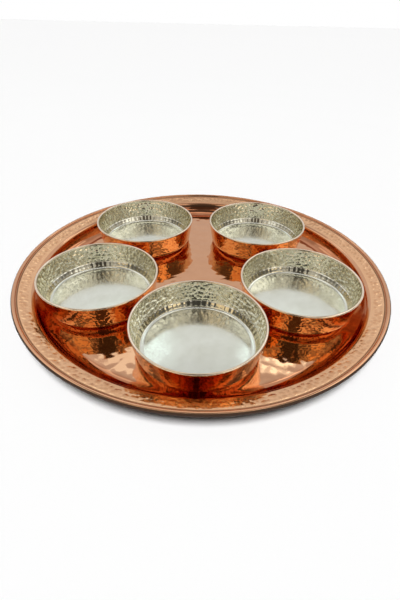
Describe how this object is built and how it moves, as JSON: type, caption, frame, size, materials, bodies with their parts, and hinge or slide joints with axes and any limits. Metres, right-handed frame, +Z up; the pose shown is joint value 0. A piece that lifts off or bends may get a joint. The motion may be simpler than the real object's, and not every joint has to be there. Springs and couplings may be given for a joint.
{
  "type": "serving tray with bowls",
  "caption": "Round hammered copper serving tray with a rolled wired rim, carrying loose tin-lined copper bowls for meze or breakfast dishes.",
  "frame": {"origin": "centre of the tray's flat underside, on the table", "axes": "+Z up, -Y towards the front of the set, +X to the viewer's right"},
  "size_m": [0.3999, 0.4, 0.0316],
  "materials": {
    "tray_copper": "polished and hammered",
    "bowl_copper": "polished and hammered",
    "bowl_tin": "wiped tin, satin",
    "rim_steel": "plain drawn wire"
  },
  "bodies": {
    "tray": {"tray_pan": "tray_copper", "rim_wire": "rim_steel"},
    "bowl_front": {"front_bowl": "bowl_copper", "front_lining": "bowl_tin"},
    "bowl_left": {"left_bowl": "bowl_copper", "left_lining": "bowl_tin"},
    "bowl_right": {"right_bowl": "bowl_copper", "right_lining": "bowl_tin"},
    "bowl_back_left": {"back_left_bowl": "bowl_copper", "back_left_lining": "bowl_tin"},
    "bowl_back_right": {"back_right_bowl": "bowl_copper", "back_right_lining": "bowl_tin"}
  },
  "joints": [
    {"name": "front_bowl_lift", "type": "slide", "parent": "tray", "child": "bowl_front", "axis": [0, 0, 1], "range_m": [0, 0.12]},
    {"name": "left_bowl_lift", "type": "slide", "parent": "tray", "child": "bowl_left", "axis": [0, 0, 1], "range_m": [0, 0.12]},
    {"name": "right_bowl_lift", "type": "slide", "parent": "tray", "child": "bowl_right", "axis": [0, 0, 1], "range_m": [0, 0.12]},
    {"name": "back_left_bowl_lift", "type": "slide", "parent": "tray", "child": "bowl_back_left", "axis": [0, 0, 1], "range_m": [0, 0.12]},
    {"name": "back_right_bowl_lift", "type": "slide", "parent": "tray", "child": "bowl_back_right", "axis": [0, 0, 1], "range_m": [0, 0.12]}
  ]
}
